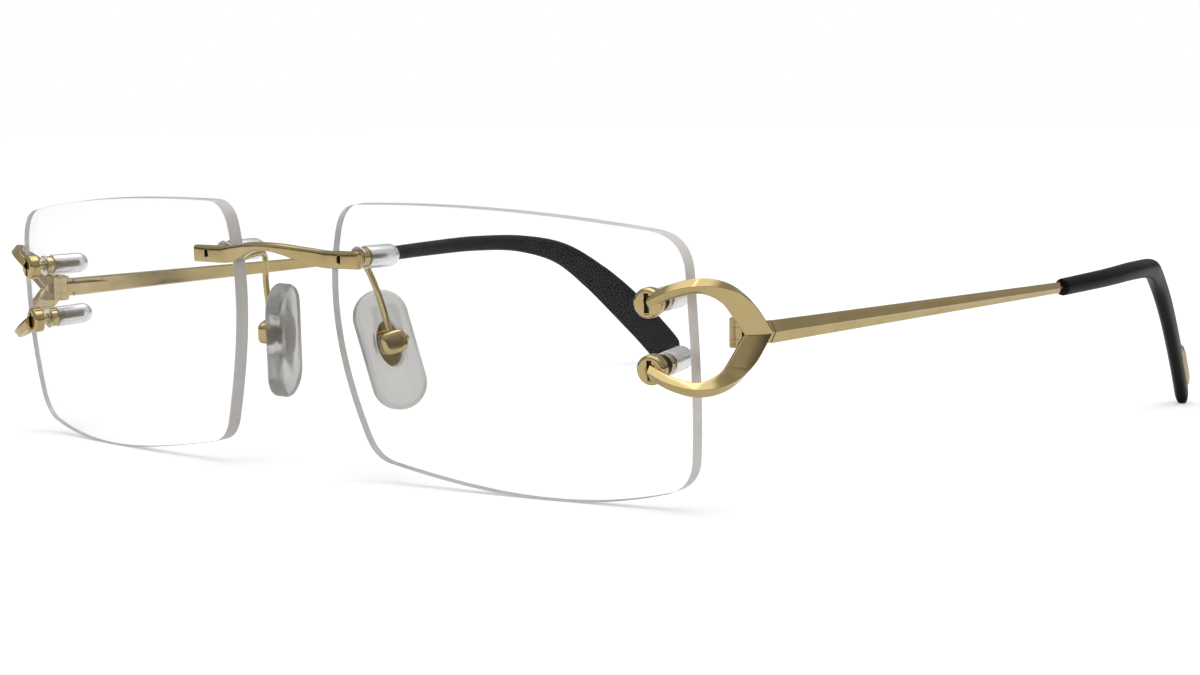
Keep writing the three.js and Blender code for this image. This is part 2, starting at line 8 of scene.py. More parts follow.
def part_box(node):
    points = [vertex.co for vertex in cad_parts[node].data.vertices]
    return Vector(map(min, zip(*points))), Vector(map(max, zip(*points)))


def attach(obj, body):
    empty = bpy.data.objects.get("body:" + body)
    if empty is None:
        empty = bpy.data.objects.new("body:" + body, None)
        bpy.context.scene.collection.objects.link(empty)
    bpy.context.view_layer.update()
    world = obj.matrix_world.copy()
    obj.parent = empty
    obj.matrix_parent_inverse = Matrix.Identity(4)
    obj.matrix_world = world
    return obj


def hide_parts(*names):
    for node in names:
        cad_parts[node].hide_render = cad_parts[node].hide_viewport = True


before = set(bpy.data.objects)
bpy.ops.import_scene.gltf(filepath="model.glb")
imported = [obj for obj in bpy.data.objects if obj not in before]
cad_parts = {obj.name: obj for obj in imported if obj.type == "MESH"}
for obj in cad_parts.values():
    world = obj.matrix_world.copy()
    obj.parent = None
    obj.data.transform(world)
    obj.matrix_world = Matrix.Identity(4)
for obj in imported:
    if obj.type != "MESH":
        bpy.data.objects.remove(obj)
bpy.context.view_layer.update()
MM = 0.001

# ---- Driving dimensions, as the CAD has them ----

GAP = 0.05
LENS_GAP = 0.12
LENS_CENTRE = (39.3, 1, 18.7)
LENS_CURVE = 165
LENS_THICKNESS = 2
LENS_TILT = 4.6
LENS_WRAP = 6.5
LENS_SIDES = [
    ((-24.2, -15.8), (3.6, 5.4), 3),
    ((-27.5, 17.4), (1.9, 2.1), 3),
    ((26.2, 14.4), (0.9, 1.6), 4.4),
    ((25.4, -16), (5.1, 2.3), 3.2),
]
HOLES = {"nasal": (-26, 10.5), "upper": (22, 6.7), "lower": (22, -1.3)}
HOLE_RADIUS = 0.75
STUD = {"radius": 0.6, "length": 8.2, "into": 0.8}
WASHER = {"radius": 1.5, "thickness": 0.2}
NUT = {"radius": 1.35, "neck": 1.12, "nose": 0.95, "thickness": 1.8, "shoulder": 0.95}
CAP = {"radius": 1.5, "length": 5.4, "bore": 4.2}
LUG = {
    "end": 16.4, "inner": 9.8, "y": -2.25, "z": 29.15,
    "back": 0.65, "crease": 0.85, "edge": 0.55, "height": 2.3,
}
BRIDGE_TOP = {"y": -4.2, "z": 30.6, "thickness": 1.5, "height": 1.2}
# Between a lug and the middle of the bridge: shares of the lug's inner x, and of the rise to the top.
BRIDGE_ARCH = [(0.62, 0.4), (0.3, 0.85)]
PAD_BOX_PLACE = (12.75, 7.4, 17.8)
PAD_OUTWARD = (0.9, -0.42, 0.09)
PAD_UPWARD = (-0.23, -0.16, 0.96)
PAD = {"width": 7.2, "length": 16.3, "outer": -0.9, "inner": -3.4, "drop": -1.05, "edge": 0.5}
PAD_BOX = {"depth": 2.3, "width": 3.5, "height": 3.1, "slot": 0.96, "slot_height": 1.96}
PAD_CORE = {"width": 3.6, "height": 6.2, "drop": -0.2}
PAD_WIRE_RADIUS = 0.42
PAD_WIRE_ROUTE = [
    (9.3, LUG["y"] + LUG["back"] + 4 * GAP, 28.4), (9.15, -0.3, 28.6), (8.95, 1.5, 29), (9.3, 3.3, 29.1),
    (10.2, 4.7, 28.3), (11.45, 5.85, 24.8),
]
END_HEIGHT = 21.35
PLAN = [(60, 1.9), (61.4, 2.2), (64.6, 2.9), (67.3, 4.5), (68.9, 7.6), (69.25, 11.5), (69.3, 16.35)]
ARM_OUTER = [(1.75, 5.1), (4.8, 6.4), (8.2, 7.1), (12.2, 6.3), (16.2, 3.9), (20, 0)]
ARM_INNER = [(1.75, 3.3), (4.8, 4.6), (8.2, 5.2), (10.9, 4.1), (12.9, 2.1), (14.8, 0)]
ARM = {
    "ridge": 0.75, "back": 0.75, "back_share": 0.12,
    "middle": 0.5, "point": 0.14, "bevel": 0.25, "bevel_share": 0.14,
}
ROOT = {"front": 14.4, "x": 68.9, "ridge": 0.75, "half_height": 1.4, "narrow": 0.9}
BOSS = {"radius": 1.85, "thickness": 1.5, "rim": 0.3}
DRIVER_SLOT = {"width": 0.65, "depth": 0.35, "lug": 1, "boss": 2.4}
HINGE_Y = 12.8
KNUCKLE_TOP = 1.75
TIP_ROUTE = [
    (69.15, 80.9, 22.7), (68.8, 93, 23.3), (67.4, 103, 23.7), (64.8, 112, 23.3), (61.7, 119.2, 21.3),
    (59.3, 126, 16.6), (57.3, 131.6, 11.5), (55.4, 136.8, 6.1), (53.7, 141.4, 0.75),
]
TIP = {"start": 2.4, "bend": 2.7, "paddle": 6, "thickness": 2.2, "turn": 35}
INLAY = {"at": 0.895, "width": 3, "length": 9.4, "depth": 0.25, "proud": 0.55}

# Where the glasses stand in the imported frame, from the hinge screw, whose axis is the hinge's.
screw_low, screw_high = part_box("left_hinge_screw")
SHIFT = np.array([
    0,
    (screw_low.y + screw_high.y) / 2 / MM - HINGE_Y,
    screw_low.z / MM - (END_HEIGHT - KNUCKLE_TOP),
])

# ---- Small geometry helpers ----

AXIS_RADIUS = 0.01  # of the tiny flat face at the middle of a turned end


def vec(*values):
    return np.array(values, float)


def unit(v):
    v = np.asarray(v, float)
    return v / np.linalg.norm(v)


def mix(a, b, share):
    return a + (b - a) * share


def smoothstep(value, low, high):
    share = min(max((value - low) / (high - low), 0), 1)
    return share * share * (3 - 2 * share)


class Curve:
    """A smooth curve through points, read by its share of the length."""

    def __init__(self, points):
        p = np.asarray(points, float)
        ends = np.vstack([2 * p[0] - p[1], p, 2 * p[-1] - p[-2]])
        rows = []
        for a, b, c, d in zip(ends, ends[1:], ends[2:], ends[3:]):
            # centripetal spacing keeps the curve from looping between uneven points
            t0 = 0.0
            t1 = t0 + np.linalg.norm(b - a) ** 0.5
            t2 = t1 + np.linalg.norm(c - b) ** 0.5
            t3 = t2 + np.linalg.norm(d - c) ** 0.5
            for t in np.linspace(t1, t2, 40, endpoint=False):
                ab = a * (t1 - t) / (t1 - t0) + b * (t - t0) / (t1 - t0)
                bc = b * (t2 - t) / (t2 - t1) + c * (t - t1) / (t2 - t1)
                cd = c * (t3 - t) / (t3 - t2) + d * (t - t2) / (t3 - t2)
                abc = ab * (t2 - t) / (t2 - t0) + bc * (t - t0) / (t2 - t0)
                bcd = bc * (t3 - t) / (t3 - t1) + cd * (t - t1) / (t3 - t1)
                rows.append(abc * (t2 - t) / (t2 - t1) + bcd * (t - t1) / (t2 - t1))
        rows.append(p[-1])
        self.line = np.array(rows)
        steps = np.linalg.norm(np.diff(self.line, axis=0), axis=1)
        self.reach = np.concatenate([[0], np.cumsum(steps)])
        self.length = self.reach[-1]

    def at(self, share):
        d = min(max(share, 0), 1) * self.length
        return np.array([np.interp(d, self.reach, self.line[:, k]) for k in range(self.line.shape[1])])

    def along(self, share):
        e = 0.004
        return unit(self.at(min(share + e, 1)) - self.at(max(share - e, 0)))


def oval(width, height, sides, squareness=1.0):
    """An outline of a full width and height: squareness 1 is an ellipse, and more is nearer a box."""
    angles = (np.arange(sides) + 0.5) / sides * 2 * math.pi
    bend = lambda v: np.sign(v) * abs(v) ** (1 / squareness)
    return np.stack([width / 2 * bend(np.cos(angles)), height / 2 * bend(np.sin(angles))], 1)


def skin(rings, closed_ends=True):
    """Vertices and faces of a closed skin over a row of rings, with a face over each end."""
    count = len(rings[0])
    verts = np.vstack(rings)
    faces = []
    for r in range(len(rings) - 1):
        for i in range(count):
            j = (i + 1) % count
            faces.append((r * count + i, r * count + j, (r + 1) * count + j, (r + 1) * count + i))
    if closed_ends:
        faces.append(tuple(range(count))[::-1])
        last = (len(rings) - 1) * count
        faces.append(tuple(last + i for i in range(count)))
    return verts, faces


def sweep(curve, shares, facing, section):
    """Rings of a section swept along a curve: facing(share) is where the section's first axis points."""
    rings = []
    for share in shares:
        tangent = curve.along(share)
        across = unit(np.cross(tangent, facing(share)))
        out = np.cross(across, tangent)
        rings.append(curve.at(share) + np.array([out * p + across * q for p, q in section(share)]))
    return rings


def turned_rows(profile, sides):
    angles = np.arange(sides) / sides * 2 * math.pi
    return [np.stack([r * np.cos(angles), np.full(sides, y), r * np.sin(angles)], 1) for r, y in profile]


def turned(profile, sides=48):
    """A solid turned about the y axis, from (radius, place) pairs. Its ends are closed with flat faces."""
    return skin(turned_rows(profile, sides))


def ring_of(profile, sides=48):
    """A ring turned about the y axis from a closed profile of (radius, place) pairs."""
    rows = turned_rows(profile, sides)
    verts, faces = skin([*rows, rows[0]], closed_ends=False)
    count = len(rows) * sides
    faces = [tuple(i % count for i in f) for f in faces]
    return verts[:count], faces


def rounded(profile, radius, steps=4):
    """The profile with its corners rounded, but for its two ends."""
    made = [profile[0]]
    for before, corner, after in zip(profile, profile[1:], profile[2:]):
        b, c, a = (np.asarray(p, float) for p in (before, corner, after))
        room = min(radius, np.linalg.norm(b - c) / 2.01, np.linalg.norm(a - c) / 2.01)
        start, end = c + unit(b - c) * room, c + unit(a - c) * room
        for k in range(steps + 1):
            t = k / steps
            made.append(tuple((1 - t) ** 2 * start + 2 * t * (1 - t) * c + t * t * end))
    made.append(profile[-1])
    return made


def rounded_loop(profile, radius, steps=4):
    """The closed profile with all its corners rounded."""
    looped = rounded([profile[-1], *profile, profile[0]], radius, steps)
    return looped[1:-1]


def place(points, matrix):
    """The points carried from the matrix's own frame into the glasses."""
    points = np.asarray(points, float)
    return points @ matrix[:3, :3].T + matrix[:3, 3]


# ---- Frames shared by the pieces ----


def lens_matrix():
    """The lens frame: x outward, y back and z up from its centre."""
    m = Matrix.Rotation(math.radians(LENS_WRAP), 4, "Z") @ Matrix.Rotation(math.radians(LENS_TILT), 4, "X")
    m = np.array(m)
    m[:3, 3] = LENS_CENTRE
    return m


def sag(u, v):
    """How far back the lens's middle surface lies at a place on it."""
    return LENS_CURVE - np.sqrt(LENS_CURVE**2 - u * u - v * v)


def hole_matrix(hole):
    """The frame of a fixing in the glasses: y runs back along the stud from the lens front."""
    u, v = hole
    back = unit((-u, LENS_CURVE - sag(u, v), -v))
    turn = Vector((0, 1, 0)).rotation_difference(Vector(back)).to_matrix().to_4x4()
    m = np.array(turn)
    m[:3, 3] = (u, sag(u, v) - LENS_THICKNESS / 2, v)
    return lens_matrix() @ m


def pad_matrix():
    """The pad frame: x away from the nose, and z up along the pad."""
    x = unit(PAD_OUTWARD)
    y = unit(np.cross(PAD_UPWARD, x))
    m = np.eye(4)
    m[:3, 0], m[:3, 1], m[:3, 2], m[:3, 3] = x, y, np.cross(x, y), PAD_BOX_PLACE
    return m


# ---- Finishes ----


def new_material(name):
    material = bpy.data.materials.new(name)
    material.use_nodes = True
    tree = material.node_tree
    return material, tree, tree.nodes["Principled BSDF"]


def ramp_between(tree, source, low, high):
    """A value socket that maps the source's 0.3 to 0.7 onto low to high."""
    node = tree.nodes.new("ShaderNodeMapRange")
    node.inputs["From Min"].default_value = 0.3
    node.inputs["From Max"].default_value = 0.7
    node.inputs["To Min"].default_value = low
    node.inputs["To Max"].default_value = high
    tree.links.new(source, node.inputs["Value"])
    return node.outputs["Result"]


def noise(tree, scale, detail=3.0, stretch=None):
    """A noise socket in object space, with so many features in a metre."""
    coords = tree.nodes.new("ShaderNodeTexCoord")
    source = coords.outputs["Object"]
    if stretch:
        mapping = tree.nodes.new("ShaderNodeMapping")
        mapping.inputs["Scale"].default_value = stretch
        tree.links.new(source, mapping.inputs["Vector"])
        source = mapping.outputs["Vector"]
    node = tree.nodes.new("ShaderNodeTexNoise")
    node.inputs["Scale"].default_value = scale
    node.inputs["Detail"].default_value = detail
    tree.links.new(source, node.inputs["Vector"])
    return node.outputs["Fac"]


def set_mottled(tree, shader, source, a, b):
    """Gives the shader a base colour that wanders between two tones with a noise."""
    tone = ramp_between(tree, source, 0, 1)
    tree.links.new(colour_between(tree, tone, a, b), shader.inputs["Base Color"])


def bump(tree, shader, height, strength, distance):
    node = tree.nodes.new("ShaderNodeBump")
    node.inputs["Strength"].default_value = strength
    node.inputs["Distance"].default_value = distance
    tree.links.new(height, node.inputs["Height"])
    tree.links.new(node.outputs["Normal"], shader.inputs["Normal"])


def colour_between(tree, source, a, b):
    """A colour socket that goes from a to b as the source goes from 0 to 1."""
    node = tree.nodes.new("ShaderNodeMix")
    node.data_type = "RGBA"
    node.inputs[6].default_value = (*a, 1)
    node.inputs[7].default_value = (*b, 1)
    tree.links.new(source, node.inputs[0])
    return node.outputs[2]


def metal(name, light, dark, smooth, rough, grain):
    """Plated metal: a slow change of tone, and faint polishing marks in the gloss."""
    material, tree, shader = new_material(name)
    shader.inputs["Metallic"].default_value = 1
    set_mottled(tree, shader, noise(tree, 260), light, dark)
    marks = noise(tree, 900, 4, grain)
    tree.links.new(ramp_between(tree, marks, smooth, rough), shader.inputs["Roughness"])
    bump(tree, shader, marks, 0.08, 0.00002)
    return material


GOLD = metal("pale_gold", (0.63, 0.49, 0.235), (0.57, 0.44, 0.205), 0.08, 0.17, (1, 0.2, 1))
INLAY_GOLD = metal("satin_gold", (0.62, 0.49, 0.33), (0.54, 0.42, 0.27), 0.28, 0.4, (1, 1, 0.2))


def painted_slot_shade():
    """Painted shade for the inside of a screwdriver slot: a near-black colour stands in for the shadow there.
    """
    material, tree, shader = new_material("painted_slot_shade")
    set_mottled(tree, shader, noise(tree, 1500), (0.015, 0.012, 0.01), (0.03, 0.024, 0.016))
    shader.inputs["Roughness"].default_value = 0.6
    return material


# Painted shade, laid on the cut faces of the screwdriver slots.
SLOT_SHADE = painted_slot_shade()


def see_through(name, tint, rough, ior, lamps):
    """Clear stuff that bends what is seen through it. Lamps shine straight through, so its shadow is pale."""
    material, tree, shader = new_material(name)
    shader.inputs["Base Color"].default_value = (*tint, 1)
    shader.inputs["Transmission Weight"].default_value = 1
    shader.inputs["IOR"].default_value = ior
    haze = noise(tree, 420)
    tree.links.new(ramp_between(tree, haze, rough[0], rough[1]), shader.inputs["Roughness"])
    clear = tree.nodes.new("ShaderNodeBsdfTransparent")
    clear.inputs["Color"].default_value = (*lamps, 1)
    path = tree.nodes.new("ShaderNodeLightPath")
    either = tree.nodes.new("ShaderNodeMixShader")
    output = tree.nodes["Material Output"]
    tree.links.new(path.outputs["Is Shadow Ray"], either.inputs["Fac"])
    tree.links.new(shader.outputs["BSDF"], either.inputs[1])
    tree.links.new(clear.outputs["BSDF"], either.inputs[2])
    tree.links.new(either.outputs["Shader"], output.inputs["Surface"])
    return material


# The lens's index is low, because its coating takes most of the reflections away.
LENS_CLEAR = see_through("lens_clear", (0.985, 0.99, 0.988), (0.0, 0.012), 1.22, (0.93, 0.935, 0.935))
CAP_CLEAR = see_through("clear_plastic", (0.56, 0.56, 0.57), (0.24, 0.34), 1.4, (0.7, 0.7, 0.7))


def lens_edge():
    """The ground edge of the lens, a pale grey that lets some light through."""
    material, tree, shader = new_material("lens_edge")
    marks = noise(tree, 700, 5)
    set_mottled(tree, shader, marks, (0.80, 0.765, 0.73), (0.735, 0.70, 0.67))
    shader.inputs["Roughness"].default_value = 0.28
    shader.inputs["Transmission Weight"].default_value = 0.15
    bump(tree, shader, marks, 0.1, 0.00003)
    return material


LENS_EDGE = lens_edge()


def frosted():
    """The milky soft plastic of the nose pads."""
    material, tree, shader = new_material("frosted_plastic")
    set_mottled(tree, shader, noise(tree, 380), (0.62, 0.61, 0.585), (0.585, 0.575, 0.55))
    fine = noise(tree, 3200)
    tree.links.new(ramp_between(tree, fine, 0.28, 0.32), shader.inputs["Roughness"])
    shader.inputs["Transmission Weight"].default_value = 0.86
    shader.inputs["IOR"].default_value = 1.4
    bump(tree, shader, fine, 0.02, 0.00001)
    return material


FROSTED = frosted()


def black_acetate():
    """The satin black of the temple tips."""
    material, tree, shader = new_material("black_acetate")
    set_mottled(tree, shader, noise(tree, 300, 4), (0.006, 0.006, 0.007), (0.009, 0.009, 0.010))
    fine = noise(tree, 2600)
    tree.links.new(ramp_between(tree, fine, 0.36, 0.4), shader.inputs["Roughness"])
    shader.inputs["Specular IOR Level"].default_value = 0.11
    bump(tree, shader, fine, 0.015, 0.00001)
    return material


BLACK = black_acetate()

# ---- Making a piece ----


def piece(name, side, geometry, materials, body, nodes, slots=None, bevel=None, angle=35):
    """A mesh object from vertices and faces in millimetres, riding on a body for CAD nodes it replaces."""
    verts, faces = geometry
    verts = np.array(verts, float)
    if side == "right":
        verts[:, 0] *= -1
        faces = [f[::-1] for f in faces]
    verts = (verts + SHIFT) * MM
    mesh = bpy.data.meshes.new(name)
    mesh.from_pydata(verts.tolist(), [], [list(f) for f in faces])
    for material in materials if isinstance(materials, list) else [materials]:
        mesh.materials.append(material)
    if slots is not None:
        mesh.polygons.foreach_set("material_index", slots)
    mesh.validate()
    mesh.update()
    mesh.shade_smooth()
    mesh.set_sharp_from_angle(angle=math.radians(angle))
    made = bpy.data.objects.new(name, mesh)
    bpy.context.scene.collection.objects.link(made)
    if bevel:
        soften(made, bevel)
    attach(made, body)
    if nodes:
        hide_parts(*nodes)
    return made


def soften(obj, width):
    """Rounds the edges of an object, over a width in millimetres."""
    modifier = obj.modifiers.new("edges", "BEVEL")
    modifier.width = width * MM
    modifier.segments = 3
    modifier.limit_method = "ANGLE"
    modifier.angle_limit = math.radians(28)
    modifier.use_clamp_overlap = True
    modifier.harden_normals = True


def drill(obj, cutters, lining=None):
    """Cuts the cutters, (vertices, faces) in millimetres, out of a piece. The lining, where given, colours
    the cut faces; for the screwdriver slots it is painted shade.
    """
    for k, (verts, faces) in enumerate(cutters):
        mesh = bpy.data.meshes.new("cutter")
        mesh.from_pydata(((np.array(verts) + SHIFT) * MM).tolist(), [], [list(f) for f in faces])
        if lining:
            mesh.materials.append(lining)
        tool = bpy.data.objects.new(f"cutter{k}", mesh)
        bpy.context.scene.collection.objects.link(tool)
        modifier = obj.modifiers.new("drill", "BOOLEAN")
        modifier.object = tool
        modifier.operation = "DIFFERENCE"
        modifier.solver = "EXACT"
        modifier.material_mode = "TRANSFER"
        bpy.context.view_layer.update()
        evaluated = obj.evaluated_get(bpy.context.evaluated_depsgraph_get())
        result = bpy.data.meshes.new_from_object(evaluated)
        obj.modifiers.remove(modifier)
        obj.data = result
        bpy.data.objects.remove(tool)


def mirrored(geometry, side):
    """A left-hand geometry, or its mirror image for the right."""
    verts, faces = geometry
    if side == "left":
        return verts, faces
    return np.array(verts) * (-1, 1, 1), [f[::-1] for f in faces]


# ---- Lenses ----


def lens_outline(per_side=36, per_corner=14):
    """The lens's outline: four bowed sides that run into rounded corners."""
    corners = [vec(*c) for c, _, _ in LENS_SIDES]
    sides = []
    for i, (_, bows, _) in enumerate(LENS_SIDES):
        a, d = corners[i], corners[(i + 1) % 4]
        out = unit((-(d - a)[1], (d - a)[0]))
        b, c = (mix(a, d, (k + 1) / 3) + out * bow for k, bow in enumerate(bows))
        t = np.linspace(0, 1, 201)[:, None]
        line = (1 - t) ** 3 * a + 3 * t * (1 - t) ** 2 * b + 3 * t * t * (1 - t) * c + t**3 * d
        sides.append((line, np.linalg.norm(np.diff(line, axis=0), axis=1).sum()))
    read = lambda i, t: np.array([np.interp(t * 200, range(201), sides[i][0][:, k]) for k in (0, 1)])
    points = []
    for i in range(4):
        nxt = (i + 1) % 4
        start = LENS_SIDES[i][2] / sides[i][1]
        end = 1 - LENS_SIDES[nxt][2] / sides[i][1]
        points += [read(i, mix(start, end, k / per_side)) for k in range(per_side)]
        a, b, c = read(i, end), corners[nxt], read(nxt, LENS_SIDES[nxt][2] / sides[nxt][1])
        for k in range(per_corner):
            t = k / per_corner
            points.append((1 - t) ** 2 * a + 2 * t * (1 - t) * b + t * t * c)
    return np.array(points)


def lens(side):
    outline = lens_outline()
    matrix = lens_matrix()
    half = LENS_THICKNESS / 2
    chamfer = 0.06
    size = np.linalg.norm(outline, axis=1)

    def layer(scale, depth, inset=0.0):
        p = outline * scale * ((size - inset) / size)[:, None]
        y = sag(p[:, 0], p[:, 1]) + depth
        return place(np.stack([p[:, 0], y, p[:, 1]], 1), matrix)

    scales = np.linspace(0.08, 1, 13)[:-1]
    rings = [layer(s, -half) for s in scales]
    rings += [layer(1, -half, chamfer), layer(1, -half + chamfer)]
    rings += [layer(1, half - chamfer), layer(1, half, chamfer)]
    rings += [layer(s, half) for s in scales[::-1]]
    verts, faces = skin(rings)
    count = len(outline)
    edge_from = len(scales) * count
    edge_to = (len(scales) + 3) * count
    slots = [1 if edge_from <= k < edge_to else 0 for k in range(len(faces))]
    made = piece(
        f"{side}_lens_fine", side, (verts, faces), [LENS_CLEAR, LENS_EDGE], "front",
        [f"{side}_lens"], slots)
    cutters = []
    for hole in HOLES.values():
        bore = turned([(HOLE_RADIUS, -2), (HOLE_RADIUS, LENS_THICKNESS + 2)], 40)
        cutters.append(mirrored((place(bore[0], hole_matrix(hole)), bore[1]), side))
    drill(made, cutters)


# ---- Fixings ----


def fixing(side, name, hole):
    """The stud, washer, nut and cap at one hole of a lens."""
    matrix = hole_matrix(hole)
    put = lambda geometry: (place(geometry[0], matrix), geometry[1])
    washer_from = LENS_THICKNESS + LENS_GAP
    nut_from = washer_from + WASHER["thickness"] + GAP
    nut_end = nut_from + NUT["thickness"]
    shoulder = nut_from + NUT["shoulder"]
    cap_from = shoulder + GAP
    cap_end = cap_from + CAP["length"]
    stud_end = STUD["length"] - STUD["into"]
    # the thread is a row of fine ridges on the stretch behind the lens
    pitch, crest = 0.3, 0.06
    thread = []
    for k in range(int((stud_end - 0.3 - washer_from) / pitch)):
        y = washer_from + k * pitch
        thread += [(STUD["radius"] - crest, y), (STUD["radius"], y + pitch / 2)]
    radius = STUD["radius"]
    stud = turned([
        (AXIS_RADIUS, -STUD["into"]), (radius, -STUD["into"]), (radius, washer_from - pitch), *thread,
        (radius - crest, stud_end - 0.25), (radius - 0.2, stud_end), (AXIS_RADIUS, stud_end),
    ], 36)
    radius, washer_to = WASHER["radius"], washer_from + WASHER["thickness"]
    washer = ring_of(rounded_loop([
        (HOLE_RADIUS, washer_from), (radius, washer_from), (radius, washer_to), (HOLE_RADIUS, washer_to),
    ], 0.1))
    nut = ring_of(rounded_loop([
        (HOLE_RADIUS, nut_from), (NUT["radius"], nut_from), (NUT["radius"], shoulder),
        (NUT["neck"], shoulder), (NUT["nose"], nut_end), (HOLE_RADIUS, nut_end),
    ], 0.12))
    radius = CAP["radius"]
    angles = [math.radians(a) for a in range(0, 90, 9)]
    dome = [(radius * math.cos(a), cap_end - radius + radius * math.sin(a)) for a in angles]
    shell = rounded([
        (AXIS_RADIUS, cap_from + CAP["bore"]), (HOLE_RADIUS, cap_from + CAP["bore"]),
        (HOLE_RADIUS, nut_end + GAP), (NUT["nose"] + GAP, nut_end + GAP),
        (NUT["neck"] + GAP, cap_from), (radius, cap_from), dome[0],
    ], 0.1)
    cap = turned([*shell, *dome[1:], (AXIS_RADIUS, cap_end)])
    gold, clear = (GOLD, "gold_metal"), (CAP_CLEAR, "clear_plastic")
    parts = [("stud", stud, *gold), ("washer", washer, *clear), ("nut", nut, *gold), ("cap", cap, *clear)]
    for part, geometry, material, slot in parts:
        node = f"{side}_{name}_{part}"
        piece(f"{node}_fine", side, put(geometry), material, "front", [node])


# ---- Bridge ----


def block(low, high, matrix):
    """A plain box between two corners, for cutting."""
    corners = [(x, y, z) for x in (low[0], high[0]) for y in (low[1], high[1]) for z in (low[2], high[2])]
    faces = [(0, 1, 3, 2), (4, 6, 7, 5), (0, 4, 5, 1), (2, 3, 7, 6), (0, 2, 6, 4), (1, 5, 7, 3)]
    return place(corners, matrix), faces


def driver_slot(hole, front, length):
    """A cutter for the screwdriver slot across the front of a fixing."""
    half = DRIVER_SLOT["width"] / 2
    low = (-half, front - 1, -length / 2)
    high = (half, front + DRIVER_SLOT["depth"], length / 2)
    return block(low, high, hole_matrix(hole))


def bridge():
    """A bar between two creased lugs, which arches forward and up. Its ends have rounded edges."""
    edge = 0.25
    arch = [
        (LUG["inner"] * share, mix(LUG["y"], BRIDGE_TOP["y"], rise), mix(LUG["z"], BRIDGE_TOP["z"], rise))
        for share, rise in BRIDGE_ARCH
    ]
    lug = [(x, LUG["y"], LUG["z"]) for x in (LUG["end"], (LUG["end"] + LUG["inner"]) / 2, LUG["inner"])]
    half = [*lug, *arch]
    other = [(-x, y, z) for x, y, z in reversed(half)]
    curve = Curve([*half, (0, BRIDGE_TOP["y"], BRIDGE_TOP["z"]), *other])

    crease = hole_matrix(HOLES["nasal"])[0, 3]

    def section(share):
        x = abs(curve.at(share)[0])
        flat = smoothstep(x, 0, LUG["inner"])
        fall = min(abs(x - crease) / (LUG["end"] - crease), 1)
        ends = min(share, 1 - share) * curve.length
        inset = edge * (1 - math.sqrt(1 - (1 - min(ends / edge, 1)) ** 2))
        front = mix(BRIDGE_TOP["thickness"] / 2, mix(LUG["crease"], LUG["edge"], fall), flat) - inset
        back = mix(BRIDGE_TOP["thickness"] / 2, LUG["back"], flat) - inset
        height = mix(BRIDGE_TOP["height"], LUG["height"], flat) - 2 * inset
        return [(p * (front if p > 0 else back), q) for p, q in oval(2, height, 40, mix(1, 2.4, flat))]

    ends = [0, 0.0003, 0.001, 0.0022, 0.0038, 0.0055]
    shares = [*ends, *np.linspace(0.008, 0.992, 150), *(1 - s for s in reversed(ends))]
    rings = sweep(curve, shares, lambda s: vec(0, -1, 0), section)
    made = piece(
        "bridge_fine", "left", skin(rings), [GOLD, SLOT_SHADE], "front", ["bridge"], angle=20)
    # The slot's cut faces are coloured with painted shade.
    slot = driver_slot(HOLES["nasal"], -LUG["back"] - LUG["crease"], DRIVER_SLOT["lug"])
    drill(made, [mirrored(slot, side) for side in ("left", "right")], SLOT_SHADE)


# ---- End pieces and hinges ----


def end_piece(side):
    """The two arms, the root of the temple bar under their point, and a boss at each arm's start."""
    plan = Curve([(x, y, END_HEIGHT) for x, y in PLAN])

    def bent(s, z, proud):
        """A place on the arms' flat pattern, bent round the corner of the lens."""
        t = min(s / plan.length, 1)
        tangent = plan.along(t)
        out = np.cross(tangent, (0, 0, 1))
        return plan.at(t) + out * proud + vec(0, 0, z)

    outer = Curve([(*p, 0) for p in ARM_OUTER])
    inner = Curve([(*p, 0) for p in ARM_INNER])
    rings = []
    steps = 56
    for i in range(-steps, steps + 1):
        t = 1 - abs(i) / steps
        way = 1 if i < 0 else -1
        o, n = outer.at(t)[:2], inner.at(t)[:2]
        ridge = mix(ARM["middle"], ARM["point"], smoothstep(t, 0.35, 0.8))
        places = [
            (o, 0), (mix(o, n, ridge), ARM["ridge"]), (mix(n, o, ARM["bevel_share"]), ARM["bevel"]), (n, 0),
            (mix(n, o, ARM["back_share"]), -ARM["back"]), (mix(o, n, ARM["back_share"]), -ARM["back"]),
        ]
        rings.append(np.array([bent(p[0], way * p[1], proud) for p, proud in places]))
    piece(f"{side}_end_piece_fine", side, skin(rings), GOLD, "front", [f"{side}_end_piece"],
          bevel=0.1, angle=20)
    x, half, back = ROOT["x"], ROOT["half_height"], PLAN[-1][0] - ARM["back"]
    low = half * ROOT["narrow"]
    ends = [(x + ROOT["ridge"], 0), (x, half), (back, low), (back, -low), (x, -half)]
    root = [[(px, y, END_HEIGHT + pz) for px, pz in ends] for y in (ROOT["front"], PLAN[-1][1])]
    piece(f"{side}_end_root_fine", side, skin(root), GOLD, "front", [], bevel=0.06, angle=20)
    for name in ("upper", "lower"):
        back = -LENS_GAP
        front = back - BOSS["thickness"]
        radius = BOSS["radius"]
        verts, faces = turned(rounded([
            (AXIS_RADIUS, front), (radius - BOSS["rim"], front), (radius, front + BOSS["rim"]),
            (radius, back), (AXIS_RADIUS, back),
        ], 0.12))
        made = piece(f"{side}_{name}_boss_fine", side, (place(verts, hole_matrix(HOLES[name])), faces),
                     [GOLD, SLOT_SHADE], "front", [], angle=50)
        # The slot's cut faces are coloured with painted shade.
        drill(made, [mirrored(driver_slot(HOLES[name], front, DRIVER_SLOT["boss"]), side)], SLOT_SHADE)


# ---- Temples ----


tip_curve = Curve(TIP_ROUTE)
TIP_ROUNDING = 0.035  # the share of the tip's length that its rounded end takes


def tip_facing(share):
    """Where the tip's outer face points: outward at its start, and turned back towards its end."""
    turn = math.radians(TIP["turn"]) * smoothstep(share, 0.15, 0.6)
    return vec(math.cos(turn), math.sin(turn), 0)


